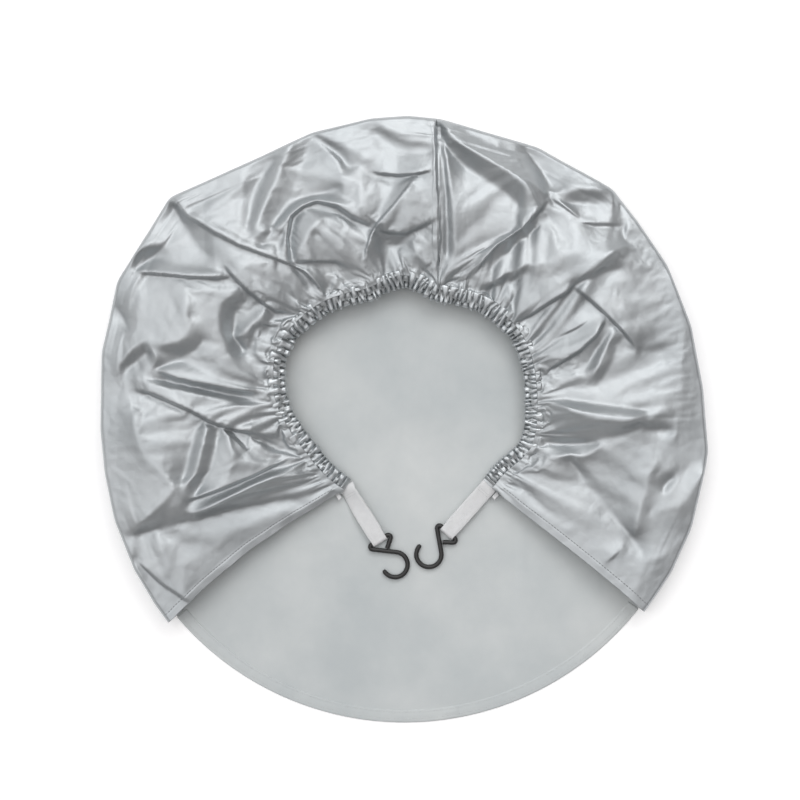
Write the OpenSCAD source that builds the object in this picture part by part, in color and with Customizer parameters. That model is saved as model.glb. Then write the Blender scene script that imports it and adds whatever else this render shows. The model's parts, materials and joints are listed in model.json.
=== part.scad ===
// Soft cover for a spare tire, laid out with its front panel face down. A gathered skirt in two
// sewn lengths rolls over the panel's rim, an elastic in a casing draws the skirt's mouth in, and
// each end of the elastic comes out as a doubled strap with a wire hook.
// +Z is up, +Y points to the middle of the skirt and the gap in the skirt is at -Y.

/* [Front panel] */
// Diameter of the round front panel
panel_d = 710; // [660:5:760]
// Thickness of the panel cloth
panel_t = 1.0; // [0.6:0.1:1.6]
// Width of the binding on the panel's free lower edge
binding_w = 14; // [8:1:22]
// Thickness of the binding
binding_t = 0.8; // [0.4:0.1:1.4]

/* [Skirt] */
// Thickness of the skirt cloth
cloth_t = 1.0; // [0.6:0.1:1.4]
// Angle on the panel of the skirt's right end
skirt_from = -38; // [-46:1:-30]
// Angle on the panel of the skirt's left end
skirt_to = 220; // [212:1:226]
// Angle on the panel of the seam that joins the two lengths of skirt
seam_at = 84; // [70:1:110]
// Width of the skirt's edge that is sewn flat onto the panel
seam_allow = 10; // [6:1:16]
// How far the rim stitching lies inside the panel's edge
stitch_inset = 2; // [1:0.5:4]
// How far the skirt bulges past the panel's edge at its sides
bulge_side = 5.5; // [3:0.5:9]
// How far the skirt bulges past the panel's edge at its middle
bulge_top = 13; // [8:0.5:18]
// Height of the skirt's widest point
belly_h = 15; // [12:1:18]
// Height of the skirt's crown
crown_h = 46; // [38:1:60]
// Height of the crown at the skirt's two ends
crown_end_h = 22; // [20:1:30]
// Radial width of the roll between the rim and the crown
roll_w = 34; // [24:1:44]
// Number of main folds round the skirt
fold_count = 17; // [9:1:24]
// Height of the main folds
fold_h = 7; // [2:0.5:8]
// How far the folds lean round the skirt from crown to mouth, in folds
fold_lean = 0.8; // [0:0.1:1.5]
// Width of the turned hem on the skirt's two ends
hem_w = 14; // [8:1:20]

/* [Mouth] */
// Radius of the elastic's line round the mouth
mouth_r = 145; // [130:1:160]
// Distance of the mouth's centre from the panel's centre towards the skirt's middle
mouth_offset = 32; // [20:1:40]
// Angle on the mouth of the elastic's right end
mouth_from = -46; // [-50:1:-42]
// Angle on the mouth of the elastic's left end
mouth_to = 237; // [232:1:240]
// Height of the elastic over the surface
mouth_h = 27; // [25:1:32]
// Height of the elastic at its two ends
mouth_end_h = 8; // [7.5:0.5:11]
// How steeply the elastic leans in towards the mouth
mouth_tilt = 35; // [20:1:50]

/* [Elastic and casing] */
// Width of the elastic
elastic_w = 20; // [19:0.5:21]
// Thickness of the elastic
elastic_t = 1.2; // [0.8:0.1:1.6]
// Room round the elastic in its casing
casing_room = 0.5; // [0.3:0.1:0.8]
// Cloth thickness of the casing, between its gathers
casing_wall = 1.0; // [0.8:0.1:1.4]
// How far the pinched sides of the casing stand out past that
casing_pinch = 1.5; // [1:0.1:2.5]
// Number of gathers along the casing
gather_count = 60; // [40:1:62]
// Height of the gathers
gather_h = 1.6; // [0.6:0.1:2]

/* [Straps] */
// Length of a strap from the casing to the hook's bar
strap_len = 68; // [50:1:90]
// Thickness of one layer of the strap
strap_t = 0.9; // [0.6:0.1:1.2]
// Width of the strap where it is folded round the hook's bar
strap_fold_w = 19; // [15:0.5:19]
// Clear space between the bends of the two hooks, as the straps lie
hook_room = 5; // [3:0.2:10]
// Sideways place of the middle between the two hooks
hook_middle = 9; // [0:1:25]

/* [Hooks] */
// Diameter of the hook's wire
wire_d = 5.4; // [4:0.2:5.6]
// Length of the bar that the strap is folded round, between the corners of the eye
bar_len = 38.5; // [38:0.5:41]
// Radius of the eye's corners along the middle of the wire
bend_r = 3; // [2.9:0.1:3.1]
// Distance from the bar to the crossing of the two legs
eye_len = 15.5; // [15:0.5:17]
// Sideways place of that crossing
eye_side = 0.5; // [0:0.5:2]
// Radius of the hook's bend along the middle of the wire
hook_r = 15; // [12:0.5:16]
// Angle that the hook's bend covers
hook_sweep = 230; // [180:5:240]

/* [Hidden] */
$fn = 96;

// Gap between pieces that touch or turn on each other
seat_gap = 0.3;
// Gap between the wire of a hook and the strap folded round it
wire_gap = 0.3;
// How much thicker the wire is in its bends, and how far a straight run reaches into one
bend_swell = 0.05;
run_in = 0.3;
// Length of elastic between the casing and the root of a strap
elastic_lead = 5;
// Part of a strap, from its root, where the two layers are sewn together
strap_sewn = 12;
// Length over which a strap narrows towards the hook's bar
strap_taper = 10;
// Height of the strap's straight sides, as a share of the round ends that they run into
taper_share = 0.98;
// Share of the skirt, from either end, over which it rises to its full height
rise_share = 0.22;
// How far the skirt's folds are turned round the mouth in the skirt's middle
mouth_turn = 15;

// The mouth isn't a true circle: offsets from its radius by angle, eased over some degrees
mouth_route = [[-46, 1], [-36, -1], [-22, 14], [0, 8], [28, 10], [46, 2], [72, -16], [90, -2],
    [109, -14], [132, 1], [158, 14], [180, 5], [196, -8], [210, -16], [237, -18]];
route_ease = 5;

// The panel lies so that the origin is in the middle of the whole cover
panel_r = panel_d / 2;
panel_y = -bulge_top / 2;
mouth_y = panel_y + mouth_offset;

// Sizes of the strap's fold and of the hook
wire_r = wire_d / 2;
fold_in_r = wire_r + wire_gap;
fold_out_r = fold_in_r + strap_t;
root_r = strap_t + wire_gap;
bar_h = panel_t + seat_gap + fold_out_r;
long_dir = atan2(eye_side + bar_len / 2, eye_len);
short_dir = atan2(bar_len / 2 - eye_side, -eye_len);
turn_a = 90 + long_dir;
turn_b = 270 - short_dir;
fold_side = (bend_trim(turn_a) - bend_trim(turn_b)) / 2;
bore_w = elastic_w + 2 * casing_room;
bore_h = elastic_t + 2 * casing_room;

// Grid of the skirt and rings of the casing
roll_step = 45;
roll_rows = 180 / roll_step;
back_rows = 5;
skirt_columns = 42;
casing_rings = 2 * gather_count + 1;

function polar(r, a) = [r * cos(a), r * sin(a)];
function mix(a, b, t) = a + (b - a) * t;
function ease(t) = t * t * (3 - 2 * t);
function unit(v) = v / norm(v);

// Along the skirt and the mouth, u runs from 0 at the right end to 1 at the left end
function lift(u) = ease(max(0, min(1, u / rise_share, (1 - u) / rise_share)));
function rim_angle(u) = mix(skirt_from, skirt_to, u);
function mouth_angle(u) = mix(mouth_from, mouth_to, u) - mouth_turn * sin(180 * u);
function route_offset(a) = (lookup(a - route_ease, mouth_route) + 2 * lookup(a, mouth_route)
    + lookup(a + route_ease, mouth_route)) / 4;
function mouth_flat(u) = let(a = mouth_angle(u))
    [0, mouth_y] + polar(mouth_r + route_offset(a), a);
function mouth_point(u) = let(p = mouth_flat(u)) [p[0], p[1], mix(mouth_end_h, mouth_h, lift(u))];

// Directions at a point of the mouth: outwards over the elastic's width, and over its thickness
function mouth_out(u) = let(d = mouth_flat(u + 0.004) - mouth_flat(u - 0.004)) unit([d[1], -d[0]]);
function tilt(u) = mouth_tilt * lift(u);
function width_axis(u) = let(n = mouth_out(u), a = tilt(u)) [n[0] * cos(a), n[1] * cos(a), sin(a)];
function height_axis(u) = let(n = mouth_out(u), a = tilt(u)) [-n[0] * sin(a), -n[1] * sin(a), cos(a)];
function mouth_edge(u) = mouth_point(u)
    + width_axis(u) * (bore_w / 2 + casing_wall + casing_pinch + gather_h + seat_gap + cloth_t);

// Directions of the straps: each brings the bend of its hook to its own side of the hooks' middle
root_lead = elastic_lead + seat_gap + root_r;
function strap_pitch() = asin((mouth_end_h - bar_h) / strap_len);
function bend_middle() = [eye_len, eye_side] + polar(hook_r - wire_r, long_dir)
    + polar(hook_r, long_dir - 90);
function strap_dir(end_u, side) = let(
        reach = [root_lead + strap_len * cos(strap_pitch()), 0] + bend_middle(),
        place = hook_middle + side * (hook_room / 2 + hook_r + wire_r))
    -acos((place - mouth_point(end_u)[0]) / norm(reach)) - atan2(reach[1], reach[0]);
left_dir = strap_dir(1, -1);
right_dir = strap_dir(0, 1);

// The skirt's outer face: sewn edge, roll over the rim, then the back down to the mouth
function rim_r(u) = panel_r + mix(bulge_side, bulge_top, pow(max(0, sin(rim_angle(u))), 2));
function crown(u) = mix(crown_end_h, crown_h, lift(u));
function fold_wave(u, t) = 1 - 2 * abs(sin(180 * (fold_count * u + fold_lean * t)));
function fold(u, t) = fold_h * lift(u) * (1 - pow(t, 4)) * fold_wave(u, t);
function rim_point(u, r, z) = let(p = [0, panel_y] + polar(r, rim_angle(u))) [p[0], p[1], z];
function roll_point(u, a, top) = let(
        run = a < 0 ? rim_r(u) - panel_r + stitch_inset : roll_w,
        rise = a < 0 ? belly_h - panel_t : top - belly_h)
    rim_point(u, rim_r(u) - run * (1 - cos(a)), belly_h + rise * sin(a));
function back_point(u, t) = let(p = mix(roll_point(u, 90, crown(u)), mouth_edge(u), t))
    [p[0], p[1], mix(crown(u), mouth_edge(u)[2], pow(t, 1.6)) + fold(u, t)];
function skirt_point(u, row) =
    row == 0 ? rim_point(u, panel_r - seam_allow, panel_t)
    : row <= roll_rows + 1 ? roll_point(u, (row - 1) * roll_step - 90, crown(u) + fold(u, 0))
    : back_point(u, (row - 1 - roll_rows) / back_rows);
skirt_rows = roll_rows + 2 + back_rows;

// Places along the skirt: its seam, and the inner edges of its two hems
seam_u = (seam_at - skirt_from) / (skirt_to - skirt_from);
skirt_arc = (skirt_to - skirt_from) * PI / 180 * panel_r;
hem_u = hem_w / skirt_arc;
seam_half_u = seat_gap / skirt_arc;
hem_step_u = cloth_t / skirt_arc;
function skirt_t(u) = min(u, 1 - u) < hem_u + hem_step_u / 2 ? 2 * cloth_t : cloth_t;

// Faces of a grid of points, listed row by row
function grid_faces(rows, columns, start, flip) = [
    for (i = [0:rows - 2], j = [0:columns - 2]) let(
        a = start + i * columns + j, b = a + 1, c = b + columns, d = a + columns)
    each flip ? [[a, b, c], [a, c, d]] : [[a, c, b], [a, d, c]]];
// Faces that close the edge between two grids of the same edge points
function edge_faces(front, back) = [
    for (i = [0:len(front) - 2]) each [
        [front[i], front[i + 1], back[i + 1]], [front[i], back[i + 1], back[i]]]];

// A sheet with a thickness: its outer face is a grid of points and its inner face lies under it
module sheet(places) {
    columns = len(places);
    count = skirt_rows * columns;
    nudge = 0.3 / skirt_arc;
    outer = [for (k = [0:skirt_rows - 1]) for (u = places) skirt_point(u, k)];
    inner = [for (k = [0:skirt_rows - 1]) for (u = places) let(
        along = skirt_point(u + nudge, k) - skirt_point(u - nudge, k),
        up = skirt_point(u, min(k + 1, skirt_rows - 1)) - skirt_point(u, max(k - 1, 0)),
        face_out = k == 0 ? [0, 0, -1] : unit(cross(along, up)))
        skirt_point(u, k) - face_out * skirt_t(u)];
    round_edge = concat(
        [for (j = [0:columns - 1]) j],
        [for (k = [1:skirt_rows - 1]) k * columns + columns - 1],
        [for (j = [columns - 2:-1:0]) (skirt_rows - 1) * columns + j],
        [for (k = [skirt_rows - 2:-1:0]) k * columns]);
    polyhedron(concat(outer, inner), concat(
        grid_faces(skirt_rows, columns, 0, false),
        grid_faces(skirt_rows, columns, count, true),
        edge_faces(round_edge, [for (i = round_edge) i + count])));
}

// A tube or bar swept through rings of points
function loop_faces(rings, sides, start, flip) = [
    for (i = [0:rings - 2], j = [0:sides - 1]) let(
        a = start + i * sides + j, b = start + i * sides + (j + 1) % sides,
        c = b + sides, d = a + sides)
    each flip ? [[a, b, c], [a, c, d]] : [[a, c, b], [a, d, c]]];

// Round front panel, face down
module front_panel() color([0.74, 0.77, 0.78])
    translate([0, panel_y, 0]) cylinder(h = panel_t, r = panel_r);

// Binding on the panel's inner face, along the edge that the skirt leaves free
module bottom_binding() color([0.78, 0.80, 0.81]) {
    end_gap = seat_gap / panel_r * 180 / PI;
    sweep = 360 + skirt_from - skirt_to - 2 * end_gap;
    translate([0, panel_y, panel_t]) rotate(skirt_to + end_gap)
        rotate_extrude(angle = sweep)
            translate([panel_r - binding_w, 0]) square([binding_w, binding_t]);
}

// Longer length of skirt, from the seam to the left end
module skirt_left() color([0.72, 0.75, 0.77]) {
    from = seam_u + seam_half_u;
    to = 1 - hem_u - hem_step_u;
    sheet(concat([for (i = [0:skirt_columns]) mix(from, to, i / skirt_columns)], [1 - hem_u, 1]));
}

// Shorter length of skirt, from the right end to the seam
module skirt_right() color([0.72, 0.75, 0.77]) {
    from = hem_u + hem_step_u;
    to = seam_u - seam_half_u;
    sheet(concat([0, hem_u], [for (i = [0:skirt_columns]) mix(from, to, i / skirt_columns)]));
}

// One ring round the elastic: six corners of the casing, four of its flat bore or of the elastic
casing_corners = [[0.75, 1], [-0.75, 1], [-1, 0], [-0.75, -1], [0.75, -1], [1, 0]];
flat_corners = [[1, 1], [-1, 1], [-1, -1], [1, -1]];
function ring(p, out, up, corners, w, h) = [for (k = corners)
    p + out * k[0] * w / 2 + up * k[1] * h / 2];
function mouth_ring(u, corners, w, h) =
    ring(mouth_point(u), width_axis(u), height_axis(u), corners, w, h);

// Faces of the casing's end, between corners that are met by walking round both rings
casing_walk = [0, 1, 2, 2, 3, 4, 5, 5, 0];
bore_walk = [0, 1, 1, 2, 2, 3, 3, 0, 0];
function end_faces(front, back) = [for (f = edge_faces(front, back))
    if (f[0] != f[1] && f[1] != f[2]) f];

// Gathered casing round the elastic
module elastic_casing() color([0.66, 0.69, 0.71]) {
    last = casing_rings - 1;
    crest = [for (i = [0:last]) i % 2 * gather_h * min(1, i / 8, (last - i) / 8)];
    outer = [for (i = [0:last]) each mouth_ring(i / last, casing_corners,
        bore_w + 2 * (casing_wall + casing_pinch + crest[i]), bore_h + 2 * (casing_wall + crest[i]))];
    bore = [for (i = [0:last]) each mouth_ring(i / last, flat_corners, bore_w, bore_h)];
    sides = len(casing_corners);
    count = len(outer);
    polyhedron(concat(outer, bore), concat(
        loop_faces(casing_rings, sides, 0, true),
        loop_faces(casing_rings, 4, count, false),
        end_faces([for (j = bore_walk) count + j], casing_walk),
        end_faces([for (j = casing_walk) last * sides + j], [for (j = bore_walk) count + last * 4 + j])));
}

// Middle of the elastic: flat band through the casing, with a short lead out of either end
function lead_ring(end_u, dir, side) = let(d = polar(1, dir)) ring(mouth_point(end_u)
    + elastic_lead * [d[0], d[1], 0], side * [-d[1], d[0], 0], [0, 0, 1], flat_corners, elastic_w, elastic_t);
module elastic_band() color([0.93, 0.93, 0.93]) {
    middle = [for (i = [0:casing_rings - 1])
        each mouth_ring(i / (casing_rings - 1), flat_corners, elastic_w, elastic_t)];
    points = concat(lead_ring(0, right_dir, 1), middle, lead_ring(1, left_dir, -1));
    end = len(points) - 4;
    polyhedron(points, concat(loop_faces(casing_rings + 2, 4, 0, true),
        [[0, 2, 1], [0, 3, 2], [end, end + 1, end + 2], [end, end + 2, end + 3]]));
}

// Places that are reached along a strap: +X along the strap, from the axis at its root
function root_point(end_u, dir) = let(p = mouth_point(end_u), d = polar(root_lead, dir))
    [p[0] + d[0], p[1] + d[1], mouth_end_h];
module at_root(end_u, dir) translate(root_point(end_u, dir)) rotate(dir)
    rotate([0, strap_pitch(), 0]) children();

// Block over two rollers that lie across the X axis
module taper(x1, r1, x2, r2, w) rotate([90, 0, 0]) translate([0, 0, -w / 2]) {
    translate([x1, 0, 0]) cylinder(h = w, r = r1);
    translate([x2, 0, 0]) cylinder(h = w, r = r2);
    linear_extrude(w) polygon([[x1, taper_share * r1], [x2, taper_share * r2],
        [x2, -taper_share * r2], [x1, -taper_share * r1]]);
}

// Doubled strap, folded round the bar of its hook
module strap() color([0.92, 0.92, 0.92]) intersection() {
    difference() {
        taper(0, root_r, strap_len, fold_out_r, elastic_w + 2);
        taper(strap_sewn, wire_gap, strap_len, fold_in_r, elastic_w + 4);
    }
    translate([0, 0, -2 * fold_out_r]) linear_extrude(4 * fold_out_r) polygon([
        [-2 * root_r, -elastic_w / 2], [strap_len - strap_taper, -elastic_w / 2],
        [strap_len - fold_out_r, fold_side - strap_fold_w / 2],
        [strap_len + 2 * fold_out_r, fold_side - strap_fold_w / 2],
        [strap_len + 2 * fold_out_r, fold_side + strap_fold_w / 2],
        [strap_len - fold_out_r, fold_side + strap_fold_w / 2],
        [strap_len - strap_taper, elastic_w / 2], [-2 * root_r, elastic_w / 2]]);
}
module left_strap() at_root(1, left_dir) strap();
module right_strap() at_root(0, right_dir) strap();

// Straight run of wire that reaches a little into its neighbours, and a slightly swollen bend of
// wire from one direction to the next
module wire(from, to) {
    run = to - from;
    translate(from - unit(run) * run_in) rotate(atan2(run[1], run[0])) rotate([0, 90, 0])
        cylinder(h = norm(run) + 2 * run_in, r = wire_r);
}
module bend(corner, dir, turn) {
    start = corner - dir3(dir) * bend_trim(turn);
    translate(start + dir3(dir + 90) * bend_r) rotate(dir - 90)
        rotate_extrude(angle = turn) translate([bend_r, 0]) circle(wire_r + bend_swell);
}
function dir3(a) = [cos(a), sin(a), 0];
function bend_trim(turn) = bend_r * tan(turn / 2);

// One-piece wire hook, flat in the XY plane: the wire runs from its cut end at the long leg, round
// the triangular eye, then along the long leg and into the open round bend
module hook() color([0.07, 0.07, 0.075]) {
    corner_a = [0, -bar_len / 2, 0];
    corner_b = [0, bar_len / 2, 0];
    crossing = [eye_len, eye_side, 0];
    crossing_angle = short_dir - long_dir;
    cut = run_in + (wire_r + wire_gap + wire_r * abs(cos(crossing_angle))) / sin(crossing_angle);
    bend_centre = [bend_middle()[0], bend_middle()[1], 0];
    bend_start = bend_centre + dir3(long_dir + 90) * hook_r;
    tip_dir = long_dir + 90 - hook_sweep;
    wire(crossing + dir3(short_dir) * cut, corner_b - dir3(short_dir) * bend_trim(turn_b));
    bend(corner_b, short_dir, turn_b);
    wire(corner_b + dir3(270) * bend_trim(turn_b), corner_a - dir3(270) * bend_trim(turn_a));
    bend(corner_a, 270, turn_a);
    wire(corner_a + dir3(long_dir) * bend_trim(turn_a), bend_start);
    translate(bend_centre) rotate(tip_dir)
        rotate_extrude(angle = hook_sweep) translate([hook_r, 0]) circle(wire_r + bend_swell);
    translate(bend_centre + dir3(tip_dir) * hook_r) rotate(tip_dir) rotate([90, 0, 0])
        translate([0, 0, -run_in]) rotate_extrude() intersection() {
            circle(wire_r);
            square(wire_d);
        }
}

// The hook hangs on the strap's fold and its bend comes down to the panel
hook_reach = eye_len + 2 * hook_r;
hook_drop = asin((bar_h - panel_t - seat_gap - wire_r) / hook_reach);
module at_bar(end_u, dir) {
    root = root_point(end_u, dir);
    along = polar(strap_len * cos(strap_pitch()), dir);
    translate([root[0] + along[0], root[1] + along[1], bar_h])
        rotate(dir) rotate([0, hook_drop, 0]) children();
}
module left_hook() at_bar(1, left_dir) hook();
module right_hook() at_bar(0, right_dir) hook();

front_panel();
bottom_binding();
skirt_left();
skirt_right();
elastic_casing();
elastic_band();
left_strap();
right_strap();
left_hook();
right_hook();
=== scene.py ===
"""Soft spare tire cover, laid out with its inner side up: cloth, elastic, stitches and finishes."""

import json
import math

import bpy
import numpy as np
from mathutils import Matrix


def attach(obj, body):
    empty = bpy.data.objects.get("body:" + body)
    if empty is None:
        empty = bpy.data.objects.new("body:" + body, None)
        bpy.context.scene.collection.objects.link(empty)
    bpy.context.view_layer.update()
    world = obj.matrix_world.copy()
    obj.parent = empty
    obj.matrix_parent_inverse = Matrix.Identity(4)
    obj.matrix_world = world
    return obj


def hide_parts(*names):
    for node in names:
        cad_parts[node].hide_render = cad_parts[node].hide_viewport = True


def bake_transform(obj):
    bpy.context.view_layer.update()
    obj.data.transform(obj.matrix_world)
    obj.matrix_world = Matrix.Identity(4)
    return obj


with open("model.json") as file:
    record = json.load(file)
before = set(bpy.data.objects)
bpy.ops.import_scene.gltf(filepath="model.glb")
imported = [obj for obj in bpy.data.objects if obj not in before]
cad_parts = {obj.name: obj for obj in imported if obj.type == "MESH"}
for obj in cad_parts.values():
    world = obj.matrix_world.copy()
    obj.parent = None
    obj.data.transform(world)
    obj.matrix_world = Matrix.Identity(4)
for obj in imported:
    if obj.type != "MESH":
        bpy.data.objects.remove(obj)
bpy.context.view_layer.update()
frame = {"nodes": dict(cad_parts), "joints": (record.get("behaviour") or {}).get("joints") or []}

# Lengths are in millimetres up to the point where a mesh is made
MM = 0.001
# The photographed layout: the pixel over the cover's origin, and the size of a pixel
PHOTO_X, PHOTO_Y = 404.5, 419.0
PIXEL = 1.188
# Front panel, and the angles between which the skirt is sewn to it
PANEL_Y = -6.5
PANEL_R = 355.0
PANEL_T = 1.0
RIM_FROM, RIM_TO = -38.0, 220.0
# Mouth: a ring whose radius changes by the angles and offsets of its route
MOUTH_Y = 25.5
MOUTH_R = 145.0
MOUTH_FROM, MOUTH_TO = -46.0, 237.0
MOUTH_LENGTH = 730.0
MOUTH_TILT = 35.0
MOUTH_TURN = 15.0
MOUTH_H, MOUTH_END_H = 27.0, 8.0
ROUTE = [(-46, 1), (-36, -1), (-22, 14), (0, 8), (28, 10), (46, 2), (72, -16), (90, -2), (109, -14), (132, 1),
         (158, 14), (180, 5), (196, -8), (210, -16), (237, -18)]
# Skirt: its seam, the height of its widest point, its roll, its upper edge and its crown
SEAM_U = (84.0 - RIM_FROM) / (RIM_TO - RIM_FROM)
BELLY_H = 13.0
ROLL_W = 6.0
EDGE_H = 30.0
CROWN_H, CROWN_END_H = 44.0, 31.0
FULL_H = 52.0
HEM_INSET = 9.5
CASING_HALF = 10.5
GATHERS = 78
# Cloth simulation: the flat cut, the rows at the rim, the steps and the settled cloth's share in the result
CUT_R, CUT_Y = 455.0, 5.0
CUT_EDGE_R, CUT_ARC_R = 367.0, 352.0
SLACK, END_SLACK = 1.04, 0.96
FIRST_FREE = 8
FRAMES = 14
SETTLED = 0.45
# Grid over the plan that the folds and creases are drawn on
CELL = 1.5
HALF = 390.0
CRUMPLES = 90
rng = np.random.default_rng(11)


def place(x, y):
    """A point of the photographed layout, in the cover's own frame."""
    return np.array([(x - PHOTO_X) * PIXEL, (PHOTO_Y - y) * PIXEL])


def mix(a, b, t):
    return a + (b - a) * t


def ease(t):
    t = np.clip(t, 0.0, 1.0)
    return t * t * (3 - 2 * t)


def run(line):
    """Distance along a line of points, at each of its points."""
    return np.concatenate([[0], np.cumsum(np.linalg.norm(np.diff(line, axis=0), axis=1))])


def cross(a, b):
    """Cross product of vectors in the plan."""
    return a[..., 0] * b[..., 1] - a[..., 1] * b[..., 0]


def unit(v):
    return v / np.linalg.norm(v, axis=-1, keepdims=True)


def ring(r, angles, z):
    """Points round the panel's middle, at a radius and height."""
    z = np.broadcast_to(z, np.shape(angles))
    return np.stack([r * np.cos(angles), PANEL_Y + r * np.sin(angles), z], -1)


# The cover's lines

def lift(u):
    """0 at the skirt's two ends, 1 along its middle."""
    return ease(np.minimum(u, 1 - u) / 0.22)


def rim_angle(u):
    return np.radians(mix(RIM_FROM, RIM_TO, u))


def mouth_flat(u):
    a = mix(MOUTH_FROM, MOUTH_TO, u) - MOUTH_TURN * np.sin(np.pi * u)
    at, off = np.array(ROUTE, float).T
    r = MOUTH_R + (np.interp(a - 5, at, off) + 2 * np.interp(a, at, off) + np.interp(a + 5, at, off)) / 4
    a = np.radians(a)
    return np.stack([r * np.cos(a), MOUTH_Y + r * np.sin(a)], -1)


def mouth_frame(u):
    """Middle of the casing, and its directions outwards over the width and up over the thickness."""
    p = mouth_flat(u)
    d = mouth_flat(u + 0.004) - mouth_flat(u - 0.004)
    n = unit(np.stack([d[..., 1], -d[..., 0]], -1))
    tilt = np.radians(MOUTH_TILT) * lift(u)
    point = np.concatenate([p, mix(MOUTH_END_H, MOUTH_H, lift(u))[..., None]], -1)
    wide = np.concatenate([n * np.cos(tilt)[..., None], np.sin(tilt)[..., None]], -1)
    tall = np.concatenate([-n * np.sin(tilt)[..., None], np.cos(tilt)[..., None]], -1)
    return point, wide, tall


RIM = [(646, 609), (672, 571), (691, 529), (706, 464), (708, 450), (703, 389), (691, 326), (667, 265), (636,
       219), (613, 190), (539, 148), (440, 119), (408, 116), (371, 119), (312, 133), (170, 198), (118, 281),
       (113, 302), (102, 352), (101, 430), (105, 472), (115, 520), (134, 568), (155, 604), (172, 627)]


def rim_radius(theta):
    """Outline of the skirt: straight runs between the corners where its folds meet the rim."""
    corners = np.array([place(*p) for p in RIM]) - [0, PANEL_Y]
    around = np.unwrap(np.arctan2(corners[:, 1], corners[:, 0]))

    def cut(a):
        i = np.clip(np.searchsorted(around, a) - 1, 0, len(around) - 2)
        p, q = corners[i], corners[i + 1]
        d = np.stack([np.cos(a), np.sin(a)], -1)
        return cross(p, q) / cross(d, q - p)

    spread = np.radians([-0.8, -0.4, 0.0, 0.4, 0.8])
    return sum(cut(theta + s) for s in spread) / len(spread)


# Folds of the skirt

folds = []


def ridge(height, *points):
    folds.append((height, None, None, points))


def valley(painted_tuck_shade_and_light, *points):
    folds.append((-painted_tuck_shade_and_light, None, None, points))


def lap(high, low, toward, *points):
    """A fold that lies over its neighbour: high on the side it points toward, low on the other."""
    folds.append((high, low, toward, points))


# upper left
lap(9, 1, (1, -1), (171, 197), (188, 217), (215, 234), (240, 247), (291, 266), (305, 273), (317, 285), (326,
    299))
valley(4, (174, 204), (185, 224), (200, 249), (213, 261))
ridge(4, (188, 217), (215, 208), (245, 200))
ridge(4, (246, 168), (243, 207), (241, 245))
valley(1, (251, 238), (253, 207), (258, 185), (275, 162))
ridge(6, (247, 244), (268, 199), (286, 160), (296, 141))
valley(1, (266, 236), (287, 205), (304, 165), (310, 148))
ridge(4, (313, 135), (352, 152), (375, 166))
valley(2, (313, 137), (333, 152), (350, 170))
ridge(3, (313, 137), (341, 162), (344, 193))
ridge(6, (249, 243), (272, 228), (281, 228))
valley(3, (262, 246), (284, 236))
valley(4, (290, 201), (316, 198), (341, 191))
lap(9, -5, (-0.3, -1), (292, 263), (289, 240), (293, 219), (305, 209), (318, 204), (338, 209), (352, 219),
    (373, 229))
ridge(7, (293, 263), (310, 236), (318, 224), (328, 220))
ridge(5, (313, 235), (330, 236), (341, 240), (351, 262))
lap(6, -3, (0, -1), (293, 264), (320, 263), (336, 263), (352, 269))
lap(9, -3, (1, -1), (224, 265), (235, 278), (250, 293), (265, 305), (276, 312), (294, 312))
ridge(5, (227, 266), (263, 272), (296, 277), (315, 291))
lap(7, -1, (0, -1), (135, 273), (166, 276), (192, 279), (219, 280), (234, 279))
valley(4, (138, 271), (150, 259), (165, 252))
ridge(5, (127, 262), (148, 247), (168, 246))
# left side
ridge(6, (143, 281), (141, 306), (133, 333), (122, 368), (120, 380))
valley(3, (113, 303), (124, 318), (133, 331))
ridge(7, (190, 292), (189, 317), (192, 331), (182, 342), (165, 346), (156, 351))
valley(5, (156, 368), (170, 361), (186, 356), (197, 351), (201, 340))
ridge(6, (192, 318), (202, 318), (218, 340), (230, 354), (236, 362))
ridge(6, (238, 290), (226, 303), (222, 318), (224, 334), (231, 354))
valley(5, (246, 298), (234, 312), (232, 330), (238, 352))
ridge(5, (234, 336), (247, 326), (256, 320), (269, 307))
ridge(7, (121, 369), (134, 351), (151, 339), (155, 352), (156, 369))
valley(3, (128, 368), (142, 358), (150, 352))
lap(8, -4, (0, -1), (156, 370), (179, 379), (196, 383), (233, 390), (263, 394))
valley(5, (150, 380), (180, 385), (200, 389), (232, 395), (258, 398))
ridge(5, (127, 378), (154, 381), (193, 391), (229, 400), (264, 410))
lap(10, -4, (0, -1), (136, 391), (151, 393), (193, 411), (214, 423), (235, 430), (263, 435))
ridge(3, (136, 406), (152, 410), (170, 413), (190, 416))
# lower left
ridge(10, (136, 406), (138, 418), (141, 437), (150, 457), (163, 468), (175, 481), (178, 487), (168, 500),
      (143, 522), (136, 532))
valley(3, (140, 533), (157, 529), (175, 524), (190, 517))
ridge(6, (209, 422), (197, 460), (187, 493), (185, 518))
valley(4, (201, 425), (190, 455), (181, 480))
valley(4, (216, 432), (204, 465), (195, 500))
ridge(5, (221, 426), (223, 444), (229, 484))
lap(3, -3, (0, 1), (223, 428), (232, 434), (240, 441), (248, 450), (256, 444))
valley(6, (244, 441), (266, 445), (289, 448))
valley(4, (291, 450), (280, 458), (270, 466))
lap(6, -1, (-0.3, -1), (187, 501), (222, 489), (254, 476), (270, 468), (291, 458))
ridge(11, (194, 516), (222, 501), (234, 495), (254, 484), (275, 476), (299, 474), (313, 476))
valley(4, (194, 519), (230, 510), (250, 505), (285, 499), (300, 503), (312, 508))
ridge(4, (136, 532), (134, 552), (148, 587))
ridge(4, (159, 532), (166, 550), (170, 567), (165, 583))
lap(4, 0, (1, -1), (135, 557), (164, 583), (197, 605))
valley(3, (160, 532), (184, 543), (210, 548), (242, 560))
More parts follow.
